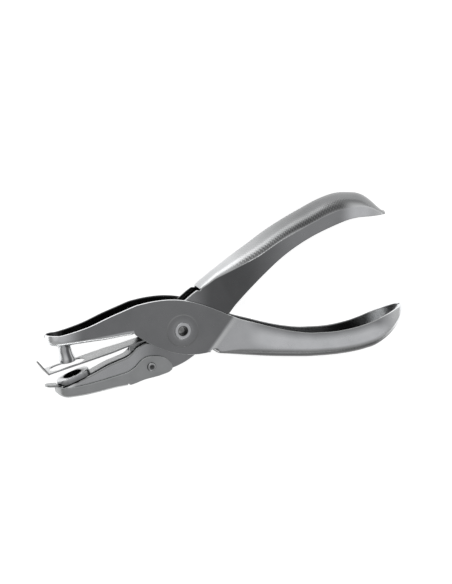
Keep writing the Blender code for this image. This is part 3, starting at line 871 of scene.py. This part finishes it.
def past_crease(points):
    """How far each point lies past the outer lever's slanted crease."""
    run = CREASE_HIGH - CREASE_LOW
    side = Vector((run.y, -run.x)).normalized()
    return (points[:, 0] - CREASE_LOW.x) * side.x + (points[:, 1] - CREASE_LOW.y) * side.y


def grip_under(points, normals):
    """Where the lower handle's underside is knurled."""
    x = points[:, 0]
    return ease(x, 22, 28) * ease(x, 72, 66) * ease(-normals[:, 1], 0.35, 0.75)


def outer_relief(points, normals):
    """The boss pressed out round the pivot and the knurl under the handle."""
    away = np.hypot(points[:, 0], points[:, 1])
    cheek = ease(np.abs(normals[:, 2]), 0.8, 0.95)
    boss = BOSS_RISE * ease(away, BOSS_R + 0.5, BOSS_R - 0.5)
    boss += BOSS_RISE * ease(away, 4.6, 3.0)
    under = pyramids(points[:, 0], points[:, 2], KNURL_PITCH)
    grip = KNURL_DEPTH * (under - 1) * grip_under(points, normals)
    return boss * cheek + grip


def line_height(rows, points, first):
    """The height of a channel's rim line (first = 0) or web line (first = 2) at each X."""
    at = [row[first] for row in rows]
    return np.interp(points[:, 0], at, [row[first + 1] for row in rows])


def depth_share(rows, points):
    """0 at a channel's rim line, 1 at its web line."""
    rims, webs = line_height(rows, points, 0), line_height(rows, points, 2)
    return np.clip((rims - points[:, 1]) / np.maximum(rims - webs, 1.0), 0, 1)


def outer_painted_light(points, normals, outer):
    """Painted light on the outer lever: painted shade on the flat cheeks, underside and inside,
    painted highlights past the crease, on the rims and on the nose.
    """
    x, down = points[:, 0], ease(-normals[:, 1], 0.2, 0.6)
    depth = depth_share(OUTER_STATIONS, points)
    # Painted highlight across the lower handle's side: dark by the rim, lightest part way down,
    # darker towards the bottom.
    bowed_painted_highlight = 0.34 + 0.7 * ease(depth, -0.1, 0.38) - 0.6 * ease(depth, 0.5, 0.95)
    handle = stages(x, 0.75, (22, 32, bowed_painted_highlight), (73, 80, 0.88))
    # Painted shade on the lower handle's underside.
    handle = blend(handle, UNDER_PAINTED_SHADE, down)
    past, away = past_crease(points), np.hypot(x, points[:, 1])
    # Painted shade on the flat cheeks, with a painted highlight on the slope round the pivot's
    # boss.
    cheek = CHEEK_PAINTED_SHADE * (1 + 0.3 * ease(away, 4.9, 3.2))
    tone_and_painted_light = blend(cheek, handle, ease(past, 0.0, 1.2))
    # Painted highlight along the rims and the jaw's lower edge.
    limit = np.where(x < OUTER_WEB_GAP[0], 1.9, 0.1)
    above_web = points[:, 1] - line_height(OUTER_STATIONS, points, 2)
    low_edge = ease(above_web, limit, limit - 0.6)
    edges = np.maximum(ease(np.abs(normals[:, 2]), 0.95, 0.8), 0.85 * low_edge)
    tone_and_painted_light = blend(tone_and_painted_light, RIM_PAINTED_HIGHLIGHT, ease(-past, 0.0, 1.0) * edges)
    # Painted highlight on the upper jaw's nose.
    tone_and_painted_light = blend(tone_and_painted_light, NOSE_PAINTED_HIGHLIGHT, ease(-x, 36, 45))
    # Darker over the knurl under the handle, most in its grooves.
    under = pyramids(x, points[:, 2], KNURL_PITCH)
    tone_and_painted_light *= 1 - grip_under(points, normals) * (0.45 - 0.3 * under)
    # The inner face takes the painted shade of the channel's inside.
    return blend(stages(x, *OUTER_INSIDE_PAINTED_SHADE), tone_and_painted_light, ease(outer, 0.2, 0.5))


def grip_over(points, normals):
    """Where the upper handle's crown is knurled, up to its crease."""
    x = points[:, 0]
    crown = ease(np.abs(normals[:, 2]), 0.93, 0.86) * ease(normals[:, 1], 0.0, 0.2)
    return ease(x, 17, 25) * ease(x, 64, 58) * crown


def crown_knurl(points):
    """The knurl's height over the upper handle's crown."""
    around = points[:, 2] * 1.25
    return pyramids(along_web(INNER_STATIONS, points), around, KNURL_PITCH)


def inner_relief(points, normals):
    """The knurl on the upper handle's crown."""
    return KNURL_DEPTH * (crown_knurl(points) - 1) * grip_over(points, normals)


def inner_painted_light(points, normals, outer):
    """Painted light on the inner lever: painted highlights on the crown and the jaw's nose,
    painted shade on the handle's flat sides and inside.
    """
    x, lie = points[:, 0], np.abs(normals[:, 2])
    crown_edge = blend(0.87, 0.94, ease(x, 36, 52))
    # Painted shade in the knurl's grooves, strongest in the low row by the crease.
    low_row = ease(lie, crown_edge - 0.28, crown_edge - 0.1)
    grooves = (0.3 + 0.4 * low_row) * (1.1 - crown_knurl(points))
    crown = stages(x, *INNER_CROWN_PAINTED_LIGHT) * (1 - grip_over(points, normals) * grooves)
    # Painted highlight along the crown's edge, painted shade where it slopes near the end and a
    # painted highlight at its end.
    ridge = ease(lie, crown_edge - 0.05, crown_edge) * ease(x, 20, 26) * ease(x, 62, 56)
    crown = blend(crown, 0.5, ridge)
    crown = blend(crown, 0.26, ease(x, 56, 62) * ease(lie, 0.8, 0.6))
    crown = blend(crown, 0.9, ease(x, 59, 66) * ease(lie, 0.7, 0.9))
    tone_and_painted_light = blend(crown, stages(x, *INNER_SIDE_PAINTED_LIGHT), ease(lie, crown_edge + 0.01, 0.98))
    # Painted highlight on the lower jaw's nose.
    tone_and_painted_light = blend(tone_and_painted_light, 0.85, ease(-x, 38, 41))
    # The inner face takes the painted shade of the channel's inside.
    return blend(stages(x, *INNER_INSIDE_PAINTED_SHADE), tone_and_painted_light, ease(outer, 0.2, 0.5))


def rivet_painted_shade(points):
    """The rivet's ring is bright and its bore dark: painted shade down the bore."""
    away = np.hypot(points[:, 0], points[:, 1])
    return blend(0.02, 0.95, ease(away, RIVET_BORE_R + 0.05, RIVET_BORE_R + 0.45))


def tray_pin_painted_light(points):
    """The tray rivet's crest is bright, with painted shade in its dimple and on its foot."""
    away = np.hypot(points[:, 0] - TRAY_PIN.x, points[:, 1] - TRAY_PIN.y)
    return blend(0.12, 0.7, ease(away, 0.75, 1.05)) * blend(1.0, 0.35, ease(away, 1.3, 1.55))


def punch_painted_reflection(normals):
    """Painted reflections: bright, with a painted dark band down its middle and a painted dull
    right edge.
    """
    facing = normals[:, 0]
    band = ease(facing, -0.2, 0.0) * ease(facing, 0.45, 0.25)
    return 1.0 - 0.75 * band - 0.6 * ease(facing, 0.85, 0.97)


def die_painted_shade(points):
    """The die is bright outside, with painted shade down its sides, towards its rear and down its
    hole.
    """
    from_foot = points - np.array(DIE_FOOT)
    along, up = from_foot @ np.array(JAW_ALONG), from_foot @ np.array(JAW_UP)
    away = np.hypot(along, points[:, 2])
    body = blend(0.35, 0.9, ease(up, 0.2, DIE_HEIGHT)) * blend(1.0, 0.7, ease(along, 2, 5))
    return blend(0.03, body, ease(away, DIE_HOLE_R + 0.01, DIE_HOLE_R + 0.12))


def strip_painted_shade(points):
    """The strip is lightest round its slot, with painted shade behind it and more on its turned-up
    tongue.
    """
    direction = np.array((math.cos(PLATE_ANGLE), math.sin(PLATE_ANGLE), 0))
    along = (points - np.array(PLATE_FRONT)) @ direction
    return blend(0.45, 1.0, ease(along, -0.6, 0.4)) * blend(0.9, 0.5, ease(along, 11, 14))


def make_outer_lever():
    """The upper jaw and lower handle: one channel that opens upward."""
    fine = spread(OUTER_STATIONS, 2.0, FINE_STEP, OUTER_FINE)
    rows = inset(fine, SHEET)
    nose = tip(rows[0], OUTER_JAW_TIP, OUTER_JAW_POWER, SHEET, 8)
    end = tip(rows[-1], OUTER_HANDLE_TIP, OUTER_HANDLE_POWER, SHEET, 10)
    rows = nose[::-1] + rows + end

    def is_open(a, b):
        return OUTER_WEB_GAP[0] < (a[2] + b[2]) / 2 < OUTER_WEB_GAP[1]

    bm = channel(rows, is_open, SHEET, 7, 2, 4)
    lever = add_piece(
        "outer_lever_shell", bm, "outer", ["outer_lever"], LEVER_PLATE
    )
    thicken(lever, SHEET, 2)
    faces = face_tree(lever)
    pivot = rod(RIVET_HOLE_R, -THROUGH, THROUGH, 64, Vector())
    notch = rod(NOTCH_R, -THROUGH, THROUGH, 48, NOTCH_AT)
    seat = rod(PUNCH_HOLE_R, SEAT_FROM, THROUGH, 48, PUNCH_END, PUNCH_ANGLE, False)
    cut(lever, [pivot, notch, seat])
    finish_sheet(lever, faces, outer_relief, outer_painted_light)


def make_inner_lever():
    """The lower jaw and upper handle: one channel that opens downward."""
    fine = spread(INNER_STATIONS, 2.2, FINE_STEP, INNER_FINE)
    rows = inset(fine, SHEET)
    nose = tip(rows[0], INNER_JAW_TIP, INNER_JAW_POWER, SHEET, 8)
    end = tip(rows[-1], INNER_HANDLE_TIP, INNER_HANDLE_POWER, SHEET, 12)
    rows = nose[::-1] + rows + end

    def is_open(a, b):
        return INNER_WEB_GAP[0] < (a[2] + b[2]) / 2 < INNER_WEB_GAP[1]

    bm = channel(rows, is_open, SHEET, 3, 2, 7)
    lever = add_piece(
        "inner_lever_shell", bm, "inner", ["inner_lever"], LEVER_PLATE
    )
    thicken(lever, SHEET, 2)
    faces = face_tree(lever)
    seat = plate_point(PLATE_RIVET_AT, 0, 0)
    cut(
        lever,
        [
            rod(RIVET_HOLE_R, -THROUGH, THROUGH, 64, Vector()),
            rod(TRAY_PIN_HOLE_R, -THROUGH, THROUGH, 32, TRAY_PIN),
            rod(CHIP_HOLE_R, -1.5, 1.5, 64, DIE_FOOT, JAW_ANGLE, False),
            rod(PLATE_PIN_R, -2.5, 2.5, 32, seat, PLATE_ANGLE, False),
        ],
    )
    finish_sheet(lever, faces, inner_relief, inner_painted_light)


def make_pivot_rivet():
    """A hollow rivet, alike at both ends, with a rolled lip over each cheek."""
    face = OUTER_HALF + HEAD_GAP
    top = face + RIVET_FLANGE
    corners = [(RIVET_BORE_R, 0), (RIVET_BORE_R, top), (RIVET_FLANGE_R, top)]
    corners += [(RIVET_FLANGE_R - 0.1, face), (RIVET_R, face)]
    lip = rounded(corners, RIVET_ROLL, 6)[1:]
    profile = lip + [(r, -z) for r, z in reversed(lip)]
    bm = turned(profile, 64, Vector())
    rivet = add_piece(
        "pivot_rivet_tube", bm, "outer", ["pivot_rivet"], BRIGHT_PLATE
    )
    smooth(rivet)
    points, _ = mesh_points(rivet.data)
    write_painted_light(rivet.data, rivet_painted_shade(points))


def make_punch():
    """The flared punch; its top and its riveted head follow the jaw's slope."""
    web = PUNCH_LENGTH + SHEET + 3 * GAP
    neck = PUNCH_LENGTH + 0.2
    profile = [(0, PUNCH_CUP), (PUNCH_R * 0.5, 0.3), (PUNCH_R - 0.05, 0), (PUNCH_R, 0.06)]
    for k in range(9):
        t = k / 8
        radius = PUNCH_R - (PUNCH_R - PUNCH_WAIST_R) * math.sin(t * math.pi / 2)
        profile.append((radius, PUNCH_LAND + PUNCH_FLARE * t))
    profile += [(PUNCH_WAIST_R, neck), (PUNCH_SHANK_R, neck), (PUNCH_SHANK_R, web)]
    profile += [(PUNCH_HEAD_R, web), (PUNCH_HEAD_R - 0.15, web + 0.4)]
    profile += [(PUNCH_HEAD_R * 0.6, web + PUNCH_DOME - 0.05), (0, web + PUNCH_DOME)]
    bm = turned(profile, 64, Vector())
    skew = math.tan(PUNCH_ANGLE - WEB_SLOPE)
    for vert in bm.verts:
        if vert.co.z > PUNCH_LENGTH - 0.01:
            vert.co.z -= vert.co.x * skew
    stand = Matrix.Rotation(-math.pi / 2, 4, "X")
    lean = Matrix.Rotation(PUNCH_ANGLE, 4, "Z")
    bmesh.ops.transform(bm, matrix=lean @ stand, verts=bm.verts)
    bmesh.ops.translate(bm, vec=PUNCH_END, verts=bm.verts)
    punch = add_piece(
        "punch_body", bm, "outer", ["punch_pin"], BRIGHT_PLATE
    )
    smooth(punch)
    _, normals = mesh_points(punch.data)
    write_painted_light(punch.data, punch_painted_reflection(normals))


def make_die():
    """The die: a stadium boss with a rounded top edge, rings laid on one another."""
    bm = bmesh.new()
    steps = 24
    layers = [(0.0, 0.05), (0.0, 1.0)]
    for k in range(1, 7):
        turn = math.pi / 2 * k / 6
        up = DIE_HEIGHT - DIE_EDGE + DIE_EDGE * math.sin(turn)
        layers.append((DIE_EDGE * (1 - math.cos(turn)), up))
    rings = []
    for shrink, up in layers:
        outline = stadium(DIE_REACH - shrink, DIE_REACH - shrink, DIE_HALF - shrink, steps)
        rings.append([bm.verts.new(jaw_point(a, up, c)) for a, c in outline])
    for lower, upper in zip(rings, rings[1:]):
        for j in range(len(lower)):
            n = (j + 1) % len(lower)
            bm.faces.new((lower[j], lower[n], upper[n], upper[j]))
    bm.faces.new(rings[-1])
    bm.faces.new(rings[0][::-1])
    bmesh.ops.recalc_face_normals(bm, faces=bm.faces)
    die = add_piece("die_body", bm, "inner", ["die_boss"], BRIGHT_PLATE)
    cut(die, [rod(DIE_HOLE_R, -1, 4, 64, DIE_FOOT, JAW_ANGLE, False)])
    smooth(die)
    points, _ = mesh_points(die.data)
    write_painted_light(die.data, die_painted_shade(points))


def make_stripper():
    """The strip over the lower jaw, with its slot, front tongue and two paper stops."""
    stops = [STOP_AT, STOP_AT + STOP_WIDTH]
    marks = [-TONGUE, -TONGUE * 0.66, -TONGUE * 0.33, 0, 0.6, SLOT_START, SLOT_END, *PLATE_NECK]
    marks += stops
    marks += [36, PLATE_LENGTH - 2, PLATE_LENGTH - 0.7, PLATE_LENGTH]
    bm = bmesh.new()
    rows = []
    for along in marks:
        share = min(max((along - PLATE_NECK[0]) / (PLATE_NECK[1] - PLATE_NECK[0]), 0), 1)
        half = PLATE_FRONT_HALF + (PLATE_REAR_HALF - PLATE_FRONT_HALF) * share
        if along < 0:
            half *= 1 + 0.85 * along / TONGUE
        if along > PLATE_LENGTH - 1:
            half *= 0.85 - 0.3 * (along == PLATE_LENGTH)
        rows.append([bm.verts.new(plate_point(along, 0, half * s)) for s in (1, 0.5, 0, -0.5, -1)])
    for a, b in zip(rows, rows[1:]):
        for j in range(4):
            bm.faces.new((a[j], b[j], b[j + 1], a[j + 1]))
    first, second = rows[marks.index(stops[0])], rows[marks.index(stops[1])]
    for side in (0, 4):
        corners = [first[side], second[side]]
        sign = 1 if side == 0 else -1
        for share in (0.2, 1.0):
            drops = []
            for base in (second[side], first[side]):
                shift = Vector((0.25 * share, -STOP_DROP * share, 0.3 * sign))
                drops.append(bm.verts.new(base.co + shift))
            bm.faces.new(corners + drops)
            corners = drops[::-1]
    bmesh.ops.recalc_face_normals(bm, faces=bm.faces)
    if sum(f.normal.y for f in bm.faces) < 0:
        bmesh.ops.reverse_faces(bm, faces=bm.faces)
    plate = add_piece(
        "stripper_strip", bm, "inner", ["stripper_plate"], PLATE_STEEL
    )
    skin = plate.modifiers.new("sheet", "SOLIDIFY")
    skin.thickness = PLATE * MM
    skin.offset = -1.0
    skin.use_even_offset = True
    seat = plate_point(PLATE_RIVET_AT, 0, 0)
    slot = slab(stadium(-SLOT_START, SLOT_END, SLOT_HALF, 32), -2, 2, plate_point)
    cut(plate, [slot, rod(PLATE_PIN_R, -2, 2, 32, seat, PLATE_ANGLE, False)])
    bevel(plate, PLATE_EDGE, 2)
    smooth(plate)
    points, _ = mesh_points(plate.data)
    write_painted_light(plate.data, strip_painted_shade(points))


def make_tray():
    """The tray: two ears, a floor and a rounded front in one sheet, with a thumb tab."""
    rows = inset(spread(TRAY_STATIONS, 1.6), TRAY_SHEET)
    rows = tip(rows[0], TRAY_TIP, TRAY_TIP_POWER, TRAY_SHEET, 8)[::-1] + rows

    def is_open(a, b):
        return (a[2] + b[2]) / 2 > TRAY_WEB_END

    bm = channel(rows, is_open, TRAY_SHEET, 5, 3, 4)
    tray = add_piece("chip_tray_shell", bm, "tray", ["chip_tray"], TRAY_PLATE)
    thicken(tray, TRAY_SHEET, 2)
    cut(tray, [rod(TRAY_PIN_HOLE_R, -THROUGH, THROUGH, 32, TRAY_PIN)])
    smooth(tray)
    outline = [(THUMB_REAR, -THUMB_HALF), (THUMB_REAR, THUMB_HALF)]
    for k in range(25):
        turn = math.pi * k / 24
        outline.append((-THUMB_HALF * math.sin(turn), THUMB_HALF * math.cos(turn)))
    bm = slab(outline, 0, THUMB, thumb_point)
    tab = add_piece("thumb_tab", bm, "tray", [], TRAY_PLATE)
    bevel(tab, THUMB_EDGE, 4)
    smooth(tab)


def make_tray_rivet():
    """A small rivet, alike at both ends, with a dimple in each head."""
    face = TRAY_HALF + HEAD_GAP
    crest = face + TRAY_HEAD_HEIGHT
    half = [(radius, crest + height) for radius, height in TRAY_HEAD]
    half += [(TRAY_HEAD_R, face), (TRAY_SHANK_R, face)]
    profile = half + [(r, -z) for r, z in reversed(half)]
    bm = turned(profile, 40, TRAY_PIN)
    pin = add_piece(
        "tray_rivet_pin", bm, "inner", ["tray_rivet"], BRIGHT_PLATE
    )
    smooth(pin, 50)
    points, _ = mesh_points(pin.data)
    write_painted_light(pin.data, tray_pin_painted_light(points))


def tangent_angle(end, side):
    """Where a straight leg to the end leaves the coil, on one side of it."""
    reach = math.acos(COIL_R / end.length)
    return math.atan2(end.y, end.x) + side * reach


def make_spring():
    """A wire wound round the bushing, with a straight leg into each handle."""
    start = tangent_angle(LOWER_LEG_END, -1)
    finish = tangent_angle(UPPER_LEG_BEND, 1)
    sweep = (start - finish) % (2 * math.pi) + 2 * math.pi * COIL_TURNS
    steps = 36 * (COIL_TURNS + 1)
    points = [LOWER_LEG_END + Vector((0, 0, -COIL_HALF))]
    for k in range(steps + 1):
        turn = start - sweep * k / steps
        z = COIL_HALF * (2 * k / steps - 1)
        points.append(Vector((COIL_R * math.cos(turn), COIL_R * math.sin(turn), z)))
    points.append(UPPER_LEG_BEND + Vector((0, 0, COIL_HALF)))
    points.append(UPPER_LEG_END + Vector((0, 0, COIL_HALF)))
    data = bpy.data.curves.new("spring_path", "CURVE")
    data.dimensions = "3D"
    data.bevel_depth = WIRE_R * MM
    data.bevel_resolution = 4
    data.use_fill_caps = True
    wire = data.splines.new("POLY")
    wire.points.add(len(points) - 1)
    for knot, point in zip(wire.points, points):
        knot.co = (*place(point), 1)
    curve = bpy.data.objects.new("spring_path", data)
    bpy.context.scene.collection.objects.link(curve)
    graph = bpy.context.evaluated_depsgraph_get()
    mesh = bpy.data.meshes.new_from_object(curve.evaluated_get(graph))
    bpy.data.objects.remove(curve)
    mesh.materials.append(WIRE_STEEL)
    spring = bpy.data.objects.new("return_spring_wire", mesh)
    bpy.context.scene.collection.objects.link(spring)
    smooth(spring, 60)
    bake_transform(spring)
    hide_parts("return_spring")


def dress_cad_nodes():
    """The hidden bushing and the stripper's rivet keep their CAD shapes."""
    for name, material in (("pivot_bushing", WIRE_STEEL), ("stripper_rivet", PIN_PLATE)):
        node = frame["nodes"][name]
        node.data.materials.clear()
        node.data.materials.append(material)


# ----------------------------------------------------------------------- stage


def make_floor():
    """A pale sheet just under the tool."""
    bm = bmesh.new()
    bmesh.ops.create_grid(bm, x_segments=1, y_segments=1, size=FLOOR_HALF)
    mesh = bpy.data.meshes.new("floor")
    bm.to_mesh(mesh)
    bm.free()
    floor = bpy.data.objects.new("floor", mesh)
    floor.location.z = -FLOOR_DROP * MM
    bpy.context.scene.collection.objects.link(floor)
    material = bpy.data.materials.new("floor_paper")
    material.use_nodes = True
    shader = material.node_tree.nodes["Principled BSDF"]
    shader.inputs["Base Color"].default_value = FLOOR_PAPER
    shader.inputs["Roughness"].default_value = 0.9
    shader.inputs["Emission Color"].default_value = (1, 1, 1, 1)
    shader.inputs["Emission Strength"].default_value = FLOOR_GLOW
    mesh.materials.append(material)


def view_axes():
    """The camera's right, up and forward directions in the lying tool's frame."""
    turn, rise = VIEW_TURN, VIEW_RISE
    forward = Vector(
        (math.sin(turn) * math.cos(rise), -math.sin(rise), -math.cos(turn) * math.cos(rise))
    )
    right = Vector((math.cos(turn), 0, math.sin(turn)))
    up = right.cross(forward)
    return right, up, forward


def make_camera():
    """A long lens that frames the tool from the front, turned and raised."""
    right, up, forward = view_axes()
    data = bpy.data.cameras.new("camera")
    data.lens = LENS
    data.sensor_width = SENSOR
    data.clip_start, data.clip_end = CLIP
    camera = bpy.data.objects.new("camera", data)
    distance = LENS * FRAME_LONG_SIDE / (SENSOR * SCALE)
    eye = right * AIM_RIGHT + up * AIM_UP - forward * distance
    turn = Matrix((right, up, -forward)).transposed().to_4x4()
    camera.matrix_world = Matrix.Translation(place(eye)) @ turn
    bpy.context.scene.collection.objects.link(camera)
    bpy.context.scene.camera = camera


def area_light(name, towards, size, power):
    """A soft panel that faces the tool from the given direction."""
    data = bpy.data.lights.new(name, "AREA")
    data.shape = "RECTANGLE"
    data.size, data.size_y = size
    data.energy = power
    lamp = bpy.data.objects.new(name, data)
    direction = Vector(towards).normalized()
    lamp.location = direction * LAMP_DISTANCE
    lamp.rotation_mode = "QUATERNION"
    lamp.rotation_quaternion = direction.to_track_quat("Z", "Y")
    lamp.visible_camera = False
    bpy.context.scene.collection.objects.link(lamp)


def make_world():
    """A pale room, darker below and towards the jaws, with a grey card before the tool."""
    world = bpy.data.worlds.new("studio")
    bpy.context.scene.world = world
    world.use_nodes = True
    tree = world.node_tree
    nodes, links = tree.nodes, tree.links
    towards = nodes.new("ShaderNodeTexCoord").outputs["Generated"]
    card = nodes.new("ShaderNodeVectorMath")
    card.operation = "DOT_PRODUCT"
    card.inputs[1].default_value = CARD_TOWARDS.normalized()
    links.new(towards, card.inputs[0])
    facing = card.outputs["Value"]
    ramp = nodes.new("ShaderNodeValToRGB")
    ramp.color_ramp.interpolation = "EASE"
    edge, core = ramp.color_ramp.elements
    edge.position, core.position = CARD_EDGE, CARD_CORE
    edge.color = (ROOM, ROOM, ROOM, 1)
    core.color = (CARD, CARD, CARD * 1.02, 1)
    links.new(facing, ramp.inputs["Fac"])
    axes = nodes.new("ShaderNodeSeparateXYZ")
    links.new(towards, axes.inputs[0])
    height = map_range(tree, axes.outputs["Y"], ROOM_FALL, (ROOM_LOW / ROOM, 1.0), True)
    near_card = map_range(tree, facing, (CARD_EDGE, CARD_CORE))
    ends = map_range(tree, axes.outputs["X"], END_FALL, (END_LOW, 1.0), True)
    level = combine(tree, "MULTIPLY", combine(tree, "MAXIMUM", height, near_card), ends)
    back = nodes["Background"]
    links.new(scaled(tree, ramp.outputs["Color"], level), back.inputs["Color"])
    back.inputs["Strength"].default_value = 1.0


def make_stage():
    make_floor()
    make_camera()
    make_world()
    bpy.context.scene.view_settings.view_transform = "Standard"
    for name, towards, size, power in LAMPS:
        area_light(name, towards, size, power)


make_outer_lever()
make_inner_lever()
make_pivot_rivet()
make_punch()
make_die()
make_stripper()
make_tray()
make_tray_rivet()
make_spring()
dress_cad_nodes()
make_stage()
